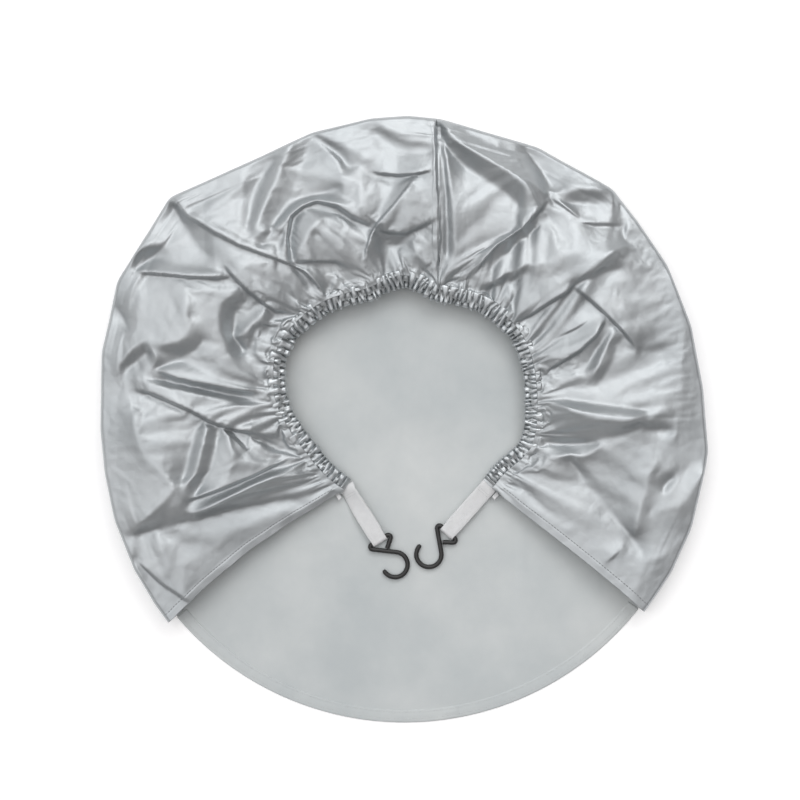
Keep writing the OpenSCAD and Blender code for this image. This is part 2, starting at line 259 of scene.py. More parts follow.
# top
lap(4, 0, (-1, 0), (436, 119), (435, 142), (436, 173), (438, 198), (439, 222), (440, 240), (438, 261), (435,
    277))
valley(3, (441, 130), (441, 150), (443, 173), (446, 200), (447, 225), (446, 250))
ridge(4, (440, 142), (447, 170), (451, 197), (453, 222), (454, 248), (446, 270))
lap(5, -2, (0, -1), (369, 173), (380, 176), (398, 178), (416, 177), (435, 173))
lap(7, 2, (1, 0.3), (415, 179), (394, 207), (377, 226), (370, 238), (366, 253), (364, 263))
lap(7, -4, (0, -1), (374, 232), (390, 235), (405, 236), (420, 229), (436, 222))
ridge(5, (438, 238), (428, 246), (418, 252))
valley(4, (380, 243), (395, 247), (408, 246))
lap(3, -1, (0, -1), (417, 274), (436, 261))
ridge(4, (371, 122), (388, 132), (414, 141), (434, 141))
valley(1, (375, 134), (392, 147), (414, 155), (433, 155))
ridge(3, (407, 118), (422, 127), (438, 130))
# upper right
ridge(10, (440, 122), (446, 134), (455, 145), (479, 160), (500, 172), (520, 184), (528, 193), (534, 205))
valley(5, (449, 148), (474, 170), (496, 184), (514, 197), (524, 210))
ridge(4, (443, 121), (472, 137), (490, 145), (509, 152))
ridge(6, (512, 155), (523, 169), (532, 182), (546, 200))
valley(4, (524, 150), (535, 165), (543, 178), (550, 190))
lap(5, 0, (1, -1), (546, 198), (560, 207), (574, 218), (582, 222))
ridge(6, (552, 196), (577, 191), (595, 192), (611, 196))
valley(2, (560, 205), (580, 203), (600, 206))
ridge(4, (612, 190), (612, 208), (610, 223))
valley(2, (618, 196), (618, 212))
lap(4, 0, (0, -1), (573, 224), (591, 226), (614, 226), (624, 226))
lap(4, 0, (1, 0), (625, 218), (624, 231), (623, 244))
lap(11, -5, (-1, -1), (546, 205), (537, 214), (524, 229), (497, 247), (483, 263), (472, 277))
valley(6, (541, 222), (528, 236), (506, 252), (495, 264))
valley(2, (518, 221), (497, 238), (470, 262), (452, 275))
ridge(6, (482, 285), (511, 277), (527, 269), (560, 260), (598, 252), (622, 244))
ridge(10, (622, 245), (598, 263), (576, 282))
valley(2, (621, 270), (595, 276), (580, 282))
lap(10, -4, (-1, -1), (576, 282), (565, 294), (545, 306), (528, 317), (509, 326))
ridge(3, (622, 270), (645, 268), (667, 266))
lap(5, -3, (1, -1), (571, 288), (590, 303), (604, 316), (620, 332), (635, 350))
valley(5, (527, 270), (509, 284), (485, 302))
valley(4, (479, 287), (495, 283), (511, 277))
valley(3, (472, 278), (460, 280), (448, 281))
# right side
lap(8, -2, (-1, -1), (604, 319), (595, 336), (578, 352), (560, 363), (542, 373))
lap(3, 0, (0, -1), (590, 320), (573, 330), (552, 340))
ridge(5, (612, 330), (602, 355), (590, 379))
valley(3, (606, 335), (596, 355), (584, 374))
valley(3, (619, 340), (609, 362), (597, 382))
valley(4, (612, 345), (635, 350), (662, 352))
ridge(4, (668, 267), (681, 324), (680, 352), (678, 373), (678, 408), (673, 429), (667, 448))
valley(1, (552, 396), (598, 404), (642, 409))
ridge(12, (552, 403), (570, 410), (598, 417), (626, 420), (641, 416))
valley(2, (549, 436), (570, 441), (598, 440), (626, 432), (641, 424))
valley(7, (540, 443), (563, 445), (594, 444))
ridge(5, (641, 423), (660, 411), (675, 415))
valley(4, (632, 431), (655, 430), (670, 432))
# lower right
ridge(5, (515, 469), (541, 464), (566, 457), (587, 456), (598, 445))
valley(7, (572, 460), (587, 484), (610, 512), (626, 531), (641, 551))
ridge(6, (656, 454), (650, 474), (641, 496), (635, 518), (633, 531))
ridge(5, (652, 472), (668, 469), (684, 466))
ridge(6, (706, 464), (695, 480), (681, 503), (647, 512))
ridge(4, (686, 466), (665, 490), (647, 512))
valley(3, (672, 478), (662, 488))
ridge(3, (691, 529), (664, 554), (640, 562))
lap(3, 0, (-1, 0), (621, 547), (612, 556), (602, 564))


def lap_side(line, toward):
    """Directions square to a line, to the side that a lap points toward."""
    along = np.gradient(line, axis=0)
    side = unit(np.stack([along[:, 1], -along[:, 0]], -1))
    to = np.array([toward[0], -toward[1]], float)
    return side * np.where(side @ to >= 0, 1, -1)[:, None]


def fold_field():
    """Heights of the folds over the plan: flat faces between the fold lines, as in creased cloth."""
    n = int(2 * HALF / CELL) + 1
    total, count = np.zeros((n, n)), np.zeros((n, n))

    def draw(line, height):
        s = run(line)
        t = np.arange(0, s[-1], CELL / 2)
        x, y = np.interp(t, s, line[:, 0]), np.interp(t, s, line[:, 1])
        fade = 0.55 + 0.45 * ease(np.minimum(t, s[-1] - t) / 18)
        i, j = np.rint((y + HALF) / CELL).astype(int), np.rint((x + HALF) / CELL).astype(int)
        np.add.at(total, (i, j), height * fade)
        np.add.at(count, (i, j), 1)

    for high, low, toward, points in folds:
        line = np.array([place(*p) for p in points])
        if low is None:
            draw(line, high)
            continue
        side = lap_side(line, toward)
        draw(line + side * 1.6, high - 0.38 * (high - low))
        draw(line - side * 1.6, low + 0.38 * (high - low))
    axis = np.arange(n) * CELL - HALF
    x, y = np.meshgrid(axis, axis)
    a = np.mod(np.arctan2(y - PANEL_Y, x) - math.radians(-90), 2 * np.pi) + math.radians(-90)
    rim = rim_radius(np.clip(a, rim_angle(0.0), rim_angle(1.0)))
    fixed = count > 0
    value = total / np.maximum(count, 1)
    outside = np.hypot(x, y - PANEL_Y) > rim + 60
    inside = np.hypot(x, y - MOUTH_Y) < 95
    fixed |= outside | inside
    value[outside | inside] = 0.0
    field = None
    for step in (8, 4, 2, 1):
        f, v = coarser(fixed, value, step)
        if field is None:
            field = np.zeros(f.shape)
        else:
            field = np.repeat(np.repeat(field, 2, 0), 2, 1)
            field = np.pad(field, ((0, 2), (0, 2)), mode="edge")[: f.shape[0], : f.shape[1]]
        field[f] = v[f]
        i, j = np.indices(f.shape)
        inner = np.zeros(f.shape, bool)
        inner[1:-1, 1:-1] = True
        colours = [(~f) & inner & ((i + j) % 2 == k) for k in (0, 1)]
        for _ in range(70):
            for m in colours:
                near = np.zeros_like(field)
                below, above = field[:-2, 1:-1], field[2:, 1:-1]
                near[1:-1, 1:-1] = (below + above + field[1:-1, :-2] + field[1:-1, 2:]) / 4
                field[m] += 1.8 * (near[m] - field[m])
    return field


def coarser(fixed, value, step):
    """Fixed cells on a coarser grid: one is fixed if any fine cell in it is, at their mean height."""
    shape = fixed[::step, ::step].shape
    total, hits = np.zeros(shape), np.zeros(shape)
    i, j = np.nonzero(fixed)
    cell = np.minimum(i // step, shape[0] - 1), np.minimum(j // step, shape[1] - 1)
    np.add.at(total, cell, value[i, j])
    np.add.at(hits, cell, 1)
    return hits > 0, total / np.maximum(hits, 1)


def soften(field, times):
    for _ in range(times):
        for k in (0, 1):
            field = (np.roll(field, 1, k) + 2 * field + np.roll(field, -1, k)) / 4
    return field


def resampled(line, step):
    """A line at even steps, the distance along it at each point, and its length."""
    s = run(line)
    t = np.linspace(0, s[-1], max(2, int(math.ceil(s[-1] / step)) + 1))
    return np.stack([np.interp(t, s, line[:, 0]), np.interp(t, s, line[:, 1])], -1), t, s[-1]


def hold_map():
    """How firmly the main folds of the layout hold the cloth while it settles, over the plan."""
    n = int(2 * HALF / CELL) + 1
    hold = np.zeros((n, n))
    for high, low, toward, points in folds:
        if high < 7:
            continue
        line = np.array([place(*p) for p in points])
        if low is not None:
            line = line + lap_side(line, toward) * 1.3
        line, t, total = resampled(line, 1.0)
        i, j = np.rint((line[:, ::-1].T + HALF) / CELL).astype(int)
        weight = (0.5 if high >= 9 else 0.3) * (0.5 + 0.5 * ease(np.minimum(t, total - t) / 15))
        for di in (-1, 0, 1):
            for dj in (-1, 0, 1):
                np.maximum.at(hold, (i + di, j + dj), weight)
    return hold


def crease_field():
    """Pressed lines that stay in the cloth: a step along every lap, a bend along every ridge and valley."""
    n = int(2 * HALF / CELL) + 1
    axis = np.arange(n) * CELL - HALF
    field = np.zeros((n, n))
    for high, low, toward, points in folds:
        line, t, total = resampled(np.array([place(*p) for p in points]), 2.0)
        side = lap_side(line, toward if low is not None else (1, 0.3))
        i0, j0 = np.maximum(np.floor((line.min(0)[::-1] - 60 + HALF) / CELL).astype(int), 0)
        i1, j1 = np.minimum(np.ceil((line.max(0)[::-1] + 60 + HALF) / CELL).astype(int), n)
        x, y = np.meshgrid(axis[j0:j1], axis[i0:i1])
        away = np.hypot(x[..., None] - line[:, 0], y[..., None] - line[:, 1])
        k = away.argmin(-1)
        d = np.take_along_axis(away, k[..., None], -1)[..., 0]
        over = (x - line[k, 0]) * side[k, 0] + (y - line[k, 1]) * side[k, 1]
        fade = ease(np.minimum(t, total - t)[k] / 22) * ease((55 - d) / 20)
        if low is None:
            field[i0:i1, j0:j1] += 0.14 * high * np.exp(-np.hypot(d, 3.5) / 9) * fade
        else:
            step = min(0.5 * (high - low), 3.8)
            field[i0:i1, j0:j1] += step * (2 * ease((over + 0.7) / 1.4) - 1) * np.exp(-d / 22) * fade
    draws = np.random.default_rng(11)
    for _ in range(CRUMPLES):  # short straight creases left from folding the cover away
        a, r = draws.uniform(-0.75, 3.9), draws.uniform(150, 335)
        turn, half = draws.uniform(0, math.pi), draws.uniform(26, 62)
        width, high = draws.uniform(9, 20), draws.uniform(0.45, 1.0) * draws.choice((-1, 1))
        cx, cy = r * math.cos(a), PANEL_Y + r * math.sin(a)
        i0, j0 = (max(int((c - 66 + HALF) / CELL), 0) for c in (cy, cx))
        i1, j1 = (min(int((c + 66 + HALF) / CELL), n) for c in (cy, cx))
        x, y = np.meshgrid(axis[j0:j1] - cx, axis[i0:i1] - cy)
        along = x * math.cos(turn) + y * math.sin(turn)
        off = np.abs(y * math.cos(turn) - x * math.sin(turn))
        fade = ease((half - np.abs(along)) / (0.6 * half))
        field[i0:i1, j0:j1] += high * np.maximum(1 - off / width, 0) * fade
    return field


def sample(field, x, y):
    """A field's value at points of the plan, read off between its cells."""
    i = np.clip((y + HALF) / CELL, 0, field.shape[0] - 1.001)
    j = np.clip((x + HALF) / CELL, 0, field.shape[1] - 1.001)
    a, b = i.astype(int), j.astype(int)
    s, t = i - a, j - b
    return mix(mix(field[a, b], field[a, b + 1], t), mix(field[a + 1, b], field[a + 1, b + 1], t), s)


CREASES = crease_field()
FOLDS = 1.95 * soften(fold_field(), 4)
FOLDS += 0.3 * soften(np.random.default_rng(5).normal(0, 3.0, FOLDS.shape), 6)


# Gathers of the casing

def gather_row(count):
    """Places of the tucks along the casing, and the sizes of the puffs between them."""
    spacing = rng.uniform(0.5, 1.6, count)
    size = rng.uniform(0.4, 1.2, count)
    rng.uniform(size=count)  # not used: it keeps the draws after it in their places
    return np.concatenate([[0], np.cumsum(spacing)]) / spacing.sum(), size


TUCKS, PUFFS = gather_row(GATHERS)


def gather(u):
    """Height of the gathers along the casing, 0 in the tucks and about 1 on the puffs."""
    phase = np.interp(u, TUCKS, np.arange(GATHERS + 1))
    k = np.clip(phase.astype(int), 0, GATHERS - 1)
    return PUFFS[k] * np.sin(np.pi * np.clip(phase - k, 0, 1)) ** 0.7


def bead_rows(length):
    """Middles and sizes of the small puffs that the elastic draws the casing into, in two uneven rows."""
    beads = []
    for row, across in enumerate((-6.0, 1.6)):
        count = int(length / 6.6)
        along = (np.arange(count) + 0.5 * row + rng.uniform(-0.42, 0.42, count)) * length / count
        off, size = rng.uniform(-2.2, 2.2, count), rng.uniform(0.45, 1.25, count)
        beads.append(np.stack([along, across + off, size], -1))
    return np.concatenate(beads)


BEADS = bead_rows(MOUTH_LENGTH)


def bead(u, across):
    """Height of the puffs, 0 in the creases where two of them meet and about 1 on top."""
    lean = 0.25 * across * np.sin(u * 90)
    along = (u * MOUTH_LENGTH + lean)[:, None] - BEADS[:, 0]
    d = np.hypot(along / 3.3, (across - BEADS[:, 1]) / 3.9)
    near = np.argpartition(d, 1, axis=1)[:, :2]
    f = np.sort(np.take_along_axis(d, near, 1), axis=1)
    return np.clip((f[:, 1] - f[:, 0]) / 0.95, 0, 1) ** 0.7 * BEADS[d.argmin(1), 2]


# Meshes

def added(name, data):
    """A new object in the scene."""
    obj = bpy.data.objects.new(name, data)
    bpy.context.scene.collection.objects.link(obj)
    return obj


def make(name, points, faces, uv=None):
    """A smooth mesh object, with its cloth's own lengths as texture coordinates."""
    mesh = bpy.data.meshes.new(name)
    mesh.from_pydata((np.asarray(points) * MM).tolist(), [], [tuple(int(i) for i in f) for f in faces])
    mesh.update()
    if uv is not None:
        layer = mesh.uv_layers.new(name="cloth")
        loops = np.empty(len(mesh.loops), int)
        mesh.loops.foreach_get("vertex_index", loops)
        layer.data.foreach_set("uv", (np.asarray(uv) * MM)[loops].astype(np.float32).ravel())
    mesh.polygons.foreach_set("use_smooth", np.ones(len(mesh.polygons), bool))
    return added(name, mesh)


def grid_faces(rows, columns, wrap=False, start=0, flip=False):
    """Four-sided faces over rows of points, closed round each row if they wrap."""
    i, j = np.meshgrid(np.arange(rows - 1), np.arange(columns if wrap else columns - 1), indexing="ij")
    k = (j + 1) % columns
    f = np.stack([i * columns + j, i * columns + k, (i + 1) * columns + k, (i + 1) * columns + j], -1)
    f = f.reshape(-1, 4) + start
    return f[:, ::-1] if flip else f


def rod_faces(rows, columns):
    """Faces round rows of points, with both ends closed."""
    faces = [tuple(f) for f in grid_faces(rows, columns, True)]
    last = (rows - 1) * columns
    return faces + [tuple(range(columns - 1, -1, -1)), tuple(range(last, last + columns))]


def thicken(obj, thickness, offset=-1.0):
    m = obj.modifiers.new("cloth_thickness", "SOLIDIFY")
    m.thickness = thickness * MM
    m.offset = offset
    m.use_rim = True
    return obj


def finish_piece(obj, mat, body, slot, *nodes):
    obj.data.materials.append(mat)
    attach(obj, body)
    if nodes:
        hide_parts(*nodes)
    return obj


def stitches(name, line, up, pitch=3.4, length=2.5, radius=0.28):
    """A row of machine stitches along a line of points, as short rounded dashes of thread."""
    up = np.broadcast_to(up, line.shape)
    s = run(line)
    centre = np.arange(pitch / 2, s[-1] - pitch / 2, pitch)

    def at(t):
        return np.stack([np.interp(t, s, line[:, k]) for k in range(3)], -1)

    a, b = at(centre - length / 2), at(centre + length / 2)
    n = unit(np.stack([np.interp(centre, s, up[:, k]) for k in range(3)], -1))
    w = np.cross(unit(b - a), n)
    points, faces = [], []
    for share, wide, sink in ((0.0, 0.45, 0.30), (0.18, 1.0, 0.0), (0.82, 1.0, 0.0), (1.0, 0.45, 0.30)):
        c = a + (b - a) * share - n * sink * radius * 2
        for k in np.arange(6) * np.pi / 3:
            points.append(c + (w * math.cos(k) + n * math.sin(k)) * radius * wide)
    points = np.stack(points, 1)
    caps = [range(5, -1, -1), range(18, 24)]
    for k in range(len(centre)):
        faces += [tuple(i + 24 * k for i in f) for f in (*grid_faces(4, 6, True), *caps)]
    return make(name, points.reshape(-1, 3), faces)


# Skirt

def skirt_plan(u, t):
    """Plan of the back of the skirt between the roll at the rim (t = 0) and the casing (t = 1)."""
    a = rim_angle(u)
    r = rim_radius(a) - ROLL_W
    rim = np.stack([r * np.cos(a), PANEL_Y + r * np.sin(a)], -1)
    point, wide, _ = mouth_frame(u)
    edge = point + wide * (CASING_HALF - 7)
    plan = mix(rim, edge[..., :2], t[..., None])
    d = edge[..., :2] - rim
    out = unit(np.stack([d[..., 1], -d[..., 0]], -1))
    bow = 8.0 * np.sin(np.pi * np.clip(t, 0, 1)) * ease((u - 0.9) / 0.1)
    return plan - out * bow[..., None], edge[..., 2]


def skirt_points(us):
    """Rows of points from the seam on the panel's edge, over the roll and along the back to the casing."""
    a = rim_angle(us)
    r_out = rim_radius(a)
    crown = mix(CROWN_END_H, CROWN_H, lift(us))
    rows = [ring(PANEL_R - inset, a, PANEL_T + up) for inset, up in ((10, 0.2), (5, 0.3), (2, 0.4))]
    sag = 0.5 * np.sin(61 * us + 2 * np.sin(17 * us)) + 0.3 * np.sin(37 * us + 1) + 0.2 * np.sin(113 * us)
    belly = BELLY_H + 5.5 * sag
    for phi in np.radians(np.concatenate([np.arange(-75, 0, 15), np.arange(0, 90, 15)])):
        if phi < 0:
            reach, rise = r_out - PANEL_R + 2 + 2.2 * (1 + np.roll(sag, 9)), belly - PANEL_T - 0.4
        else:
            reach, rise = ROLL_W, EDGE_H - belly
        row = ring(r_out - reach * (1 - np.cos(phi)), a, belly + rise * np.sin(phi))
        row[:, 2] += sample(FOLDS, row[:, 0], row[:, 1]) * ease(math.degrees(phi) / 60)
        rows.append(row)
    start, end = (skirt_plan(us, np.full_like(us, t))[0] for t in (0, 1))
    span = np.linalg.norm(start - end, axis=1)
    wave = np.interp(us, TUCKS, np.arange(GATHERS + 1))
    fan = np.abs(np.sin(np.pi * wave / 3.2 + 1.7 * np.sin(wave / 4.3))) - 0.6
    for t in np.linspace(0, 1, 76):
        plan, edge_z = skirt_plan(us, np.full_like(us, t))
        top = mix(EDGE_H, crown, 0.3 * math.sin(min(t / 0.5, 1) * math.pi / 2) + 0.7 * float(ease(t / 0.5)))
        z = mix(top, edge_z + 5.0, float(ease((t - 0.5) / 0.5)))
        z = z + 10 * math.sin(math.pi * t) * (1 - ease(us / 0.12))
        z = z + sample(FOLDS, plan[:, 0], plan[:, 1]) * (1 - 0.75 * ease((t - 0.75) / 0.25))
        away = (1 - t) * span
        pucker = (gather(us) - 0.5) * 5.5 * np.exp(-away / 12) * (0.4 + 0.6 * ease(away / 6))
        pucker += 9.0 * fan * np.exp(-away / 28) * ease(away / 12)
        z = z + pucker * (0.35 + 0.65 * lift(us))
        rows.append(np.concatenate([plan, z[:, None]], -1))
    points = np.stack(rows)
    points[FIRST_FREE:, :, 2] = above_panel(points[FIRST_FREE:, :, 2])
    return points


def above_panel(z):
    """Heights that ease off towards the panel instead of passing through it."""
    low = PANEL_T + 3.0
    return np.where(z < low + 4, low + 4 * np.exp((z - low - 4) / 4), z)


def cut_out(guide):
    """Flat pattern of the skirt: a bent strip, longer along the mouth than the edge it is gathered into."""
    down = np.zeros(guide.shape[:2])
    down[1:] = np.cumsum(np.linalg.norm(np.diff(guide, axis=0), axis=2), axis=0)
    edge = FIRST_FREE + 6
    r_edge = np.hypot(guide[edge, :, 0], guide[edge, :, 1] - CUT_Y)
    r = CUT_R + r_edge - CUT_EDGE_R - 0.995 * (down - down[edge])
    a = np.arctan2(guide[..., 1] - CUT_Y, guide[..., 0])
    a = np.mod(a + np.pi / 2, 2 * np.pi) - np.pi / 2
    turn = np.linspace(a.min(), a.max(), 400)
    full = mix(END_SLACK, SLACK, ease(np.minimum(turn - turn[0], turn[-1] - turn) / 0.7))
    a = np.interp(a, turn, np.cumsum(full) * (turn[1] - turn[0])) * CUT_ARC_R / CUT_R
    return np.stack([r * np.cos(a), r * np.sin(a), np.zeros_like(r)], -1)


def crumple(guide):
    """Simulated cloth: the strip, held at the rim, casing and main folds, buckles into the room it has."""
    rows, columns = guide.shape[:2]
    obj = make("skirt_guide", guide.reshape(-1, 3), grid_faces(rows, columns))
    obj.shape_key_add(name="laid")
    cut = obj.shape_key_add(name="cut_out")
    cut.data.foreach_set("co", (cut_out(guide) * MM).astype(np.float32).ravel())
    j, i = np.moveaxis(np.rint((guide[..., :2] + HALF) / CELL).astype(int), -1, 0)
    held = hold_map()[i, j]
    firm = FIRST_FREE + 9
    held[:firm] = 1.0
    held[firm: firm + 4] = np.maximum(held[firm: firm + 4], 0.6)
    held[-3:] = 1.0
    group = obj.vertex_groups.new(name="held")
    for k, w in enumerate(held.ravel()):
        group.add([k], float(w), "REPLACE")
    # Cloth reads its rest shape only behind a modifier that makes a new mesh, so an idle one comes first
    plain = obj.modifiers.new("same_mesh", "EDGE_SPLIT")
    plain.use_edge_angle = plain.use_edge_sharp = False
    modifier = obj.modifiers.new("cloth", "CLOTH")
    modifier.point_cache.frame_start, modifier.point_cache.frame_end = 1, FRAMES
    modifier.collision_settings.use_collision = False
    cloth = modifier.settings
    cloth.rest_shape_key = cut
    cloth.vertex_group_mass = "held"
    cloth.quality = 4
    cloth.mass = 0.3
    cloth.tension_stiffness = cloth.compression_stiffness = 15.0
    cloth.shear_stiffness = 5.0
    cloth.bending_stiffness = 5.0
    cloth.air_damping = 4.0
    cloth.tension_damping = cloth.compression_damping = cloth.shear_damping = 5.0
    cloth.effector_weights.gravity = 0.0
    scene = bpy.context.scene
    for k in range(1, FRAMES + 1):
        scene.frame_set(k)
    settled = obj.evaluated_get(bpy.context.evaluated_depsgraph_get())
    flat = np.empty(rows * columns * 3, np.float32)
    settled.data.vertices.foreach_get("co", flat)
    bpy.data.objects.remove(obj, do_unlink=True)
    scene.frame_set(1)
    return mix(guide, flat.reshape(rows, columns, 3).astype(float) / MM, SETTLED)


def finer(a, axis):
    """Twice as many rows or columns, on a smooth curve through those given."""
    a = np.moveaxis(a, axis, 0)
    p = np.concatenate([a[:1], a, a[-1:]])
    out = np.empty((2 * len(a) - 1,) + a.shape[1:])
    out[::2], out[1::2] = a, (9 * (p[1:-2] + p[2:-1]) - p[:-3] - p[3:]) / 16
    return np.moveaxis(out, 0, axis)


def pressed(points):
    """The settled cloth with its pressed creases, kept clear of the panel and below the full height."""
    back = points[2 * FIRST_FREE:]
    k = np.arange(len(back))[:, None]
    inner = ease((len(back) - k) / 24) * ease(k / 8)
    back[..., 2] = above_panel(back[..., 2] + inner * sample(CREASES, back[..., 0], back[..., 1]))
    high = points[..., 2] > FULL_H
    points[high, 2] = FULL_H + 8 * (1 - np.exp(-(points[high, 2] - FULL_H) / 8))
    return points


def closer(points, us, *marks):
    """The settled cloth with extra columns near its sewn edges, read off between the simulated ones."""
    fine = np.unique(np.round(np.concatenate([us] + [np.linspace(a, b, 22) for a, b in marks]), 6))
    out = np.stack([[np.interp(fine, us, row[:, k]) for k in range(3)] for row in points])
    return np.moveaxis(out, 1, 2), fine


def from_end(points, last):
    """Distance of every point from the first or last column, along its row."""
    step = np.linalg.norm(np.diff(points, axis=1), axis=2)
    d = np.concatenate([np.zeros((len(points), 1)), np.cumsum(step, axis=1)], 1)
    return d[:, -1:] - d if last else d


def skirt(name, points, us, hem_last):
    """One length of the skirt, with its turned hem at one end and the seam at the other."""
    d = from_end(points, hem_last)
    points[..., 2] += 0.6 * ease((12 - d) / 2.5) - 0.5 * np.exp(-(((d - HEM_INSET) / 1.3) ** 2))
    d = from_end(points, not hem_last)
    points[..., 2] += -1.2 * np.exp(-((d / 1.6) ** 2)) + (0.7 * ease((9 - d) / 2) if hem_last else 0)
    rows, columns = points.shape[:2]
    along = run(points[:, columns // 2])
    uv = np.stack(np.broadcast_arrays((us * 1600)[None, :], along[:, None]), -1).reshape(-1, 2)
    return thicken(make(name, points.reshape(-1, 3), grid_faces(rows, columns), uv), 0.9)


US = np.unique(np.round(np.append(np.linspace(0, 1, 380), SEAM_U), 6))
laid = skirt_points(US)
pattern = cut_out(laid)
laid = crumple(laid)
laid = pressed(finer(finer(laid, 0), 1))
US = np.interp(np.arange(2 * len(US) - 1) / 2, np.arange(len(US)), US)
laid, US = closer(laid, US, (0, 0.012), (1 - 0.012, 1), (SEAM_U - 0.008, SEAM_U + 0.008))
at_seam = int(np.argmin(np.abs(US - SEAM_U)))


# Materials

WAVE = 0.314  # metres between the bands of a wave texture whose scale is 1


def plug(socket, value):
    """Link another node's output into a socket, or set the socket's own value."""
    if isinstance(value, bpy.types.NodeSocket):
        socket.id_data.links.new(value, socket)
    else:
        socket.default_value = value


def give(node, *inputs, **values):
    """Fill a node's settings and named inputs, and then its inputs in their order."""
    for key, value in values.items():
        if key in node.inputs:
            plug(node.inputs[key], value)
        else:
            setattr(node, key, value)
    for socket, value in zip(node.inputs, inputs):
        plug(socket, value)
    return node


def nodes_of(data):
    """Nodes of a material or world, and a call that adds one of a kind."""
    data.use_nodes = True
    nodes = data.node_tree.nodes

    def add(kind, *inputs, **values):
        return give(nodes.new("ShaderNode" + kind), *inputs, **values)

    return nodes, add


def blank(name):
    mat = bpy.data.materials.new(name)
    nodes, add = nodes_of(mat)
    return mat, nodes["Principled BSDF"], add


def ramp(add, value, *stops):
    """Colours along a value, from stops of a place and a colour."""
    node = add("ValToRGB", Fac=value)
    ends = node.color_ramp.elements
    ends[0].position, ends[1].position = stops[0][0], stops[-1][0]
    ends[0].color, ends[1].color = (*stops[0][1], 1), (*stops[-1][1], 1)
    for at, colour in stops[1:-1]:
        ends.new(at).color = (*colour, 1)
    return node.outputs["Color"]


def noise(add, where, scale, detail, roughness=0.5):
    return add("TexNoise", Vector=where, Scale=scale, Detail=detail, Roughness=roughness).outputs


def bands(add, where, axis, pitch, **values):
    """Threads that lie a pitch apart, in millimetres."""
    return add("TexWave", wave_type="BANDS", bands_direction=axis, Vector=where, Scale=WAVE / (pitch * MM),
               **values).outputs["Fac"]


def weave(add, where, pitch):
    """Over-and-under threads of a plain weave."""
    uneven = {"Distortion": 0.6, "Detail": 1.0, "Detail Scale": 2.0}
    threads = [bands(add, where, axis, pitch, **uneven) for axis in "XY"]
    return add("Math", *threads, operation="MULTIPLY").outputs[0]


def bump(add, height, strength, distance, *under):
    """Normals of a relief, on top of those of another where one is given."""
    node = add("Bump", Strength=strength, Distance=distance, Height=height)
    for normal in under:
        plug(node.inputs["Normal"], normal)
    return node.outputs["Normal"]


def gloss(add, value, low, high):
    return add("MapRange", Value=value, **{"To Min": low, "To Max": high}).outputs["Result"]


def mixed(add, kind, factor, a, b):
    return add("Mix", data_type="RGBA", blend_type=kind, Factor=factor, A=a, B=b).outputs["Result"]


def silver_cloth(name, paint_tuck_shade=False):
    """Coated cloth, crinkled and finely woven. The copy for the casing carries painted shade in the creases
    between its puffs and a painted highlight on the puffs.
    """
    mat, shader, add = blank(name)
    coord = add("TexCoord").outputs
    tone = noise(add, coord["Object"], 14.0, 5.0, 0.6)["Fac"]
    colour = ramp(add, tone, (0.35, (0.388, 0.411, 0.423)), (0.7, (0.46, 0.482, 0.493)))
    if paint_tuck_shade:
        # Painted shade and painted highlight: the colour is multiplied down to 0.16 in the tucks between the
        # puffs and up to 1.25 on the puffs.
        puff = add("Attribute", attribute_name="tuck_painted_shade").outputs["Fac"]
        painted_tuck_shade_and_light = ramp(add, puff, (0.0, (0.16, 0.17, 0.17)), (0.55, (1.25, 1.25, 1.25)))
        colour = mixed(add, "MULTIPLY", 1.0, colour, painted_tuck_shade_and_light)
    warp = noise(add, coord["Object"], 9.0, 3.0)["Color"]
    bent = add("VectorMath", warp, (0.05, 0.05, 0.05), coord["Object"], operation="MULTIPLY_ADD").outputs[0]
    crinkle = add("TexVoronoi", feature="DISTANCE_TO_EDGE", Vector=bent, Scale=38.0).outputs["Distance"]
    normal = bump(add, crinkle, 0.5, 0.0014)
    normal = bump(add, noise(add, bent, 55.0, 4.0, 0.55)["Fac"], 0.22, 0.0016, normal)
    normal = bump(add, weave(add, coord["UV"], 0.55), 0.25, 0.00012, normal)
    give(shader, **{"Base Color": colour, "Metallic": 0.85, "Sheen Weight": 0.08, "Normal": normal,
                    "Roughness": gloss(add, tone, *((0.26, 0.38) if paint_tuck_shade else (0.38, 0.49)))})
    return mat


def lining_cloth():
    mat, shader, add = blank("lining_cloth")
    where = add("TexCoord").outputs["Object"]
    tone = noise(add, where, 5.0, 6.0, 0.6)["Fac"]
    colour = ramp(add, tone, (0.36, (0.475, 0.51, 0.517)), (0.66, (0.59, 0.615, 0.612)))
    normal = bump(add, noise(add, where, 22.0, 3.0)["Fac"], 0.12, 0.0015)
    normal = bump(add, weave(add, where, 0.6), 0.3, 0.00015, normal)
    give(shader, **{"Base Color": colour, "Roughness": 0.82, "Sheen Weight": 0.1, "Normal": normal})
    return mat


def white_elastic():
    mat, shader, add = blank("white_elastic")
    where = add("TexCoord").outputs["UV"]
    tone = noise(add, where, 120.0, 4.0)["Fac"]
    colour = ramp(add, tone, (0.3, (0.67, 0.68, 0.685)), (0.8, (0.73, 0.74, 0.745)))
    normal = bump(add, bands(add, where, "X", 1.5), 0.8, 0.0003)
    normal = bump(add, bands(add, where, "Y", 0.9, Distortion=1.2), 0.5, 0.0002, normal)
    give(shader, **{"Base Color": colour, "Roughness": 0.75, "Sheen Weight": 0.25, "Normal": normal})
    return mat


def coated_wire():
    mat, shader, add = blank("coated_wire")
    tone = noise(add, add("TexCoord").outputs["Object"], 160.0, 4.0)["Fac"]
    colour = ramp(add, tone, (0.35, (0.010, 0.010, 0.010)), (0.8, (0.022, 0.021, 0.020)))
    give(shader, **{"Base Color": colour, "Roughness": gloss(add, tone, 0.28, 0.5),
                    "Normal": bump(add, tone, 0.25, 0.0002)})
    return mat


def thread(name, low, high):
    mat, shader, add = blank(name)
    tone = noise(add, add("TexCoord").outputs["Object"], 900.0, 2.0)["Fac"]
    give(shader, **{"Base Color": ramp(add, tone, (0.3, low), (0.7, high)), "Roughness": 0.6})
    return mat
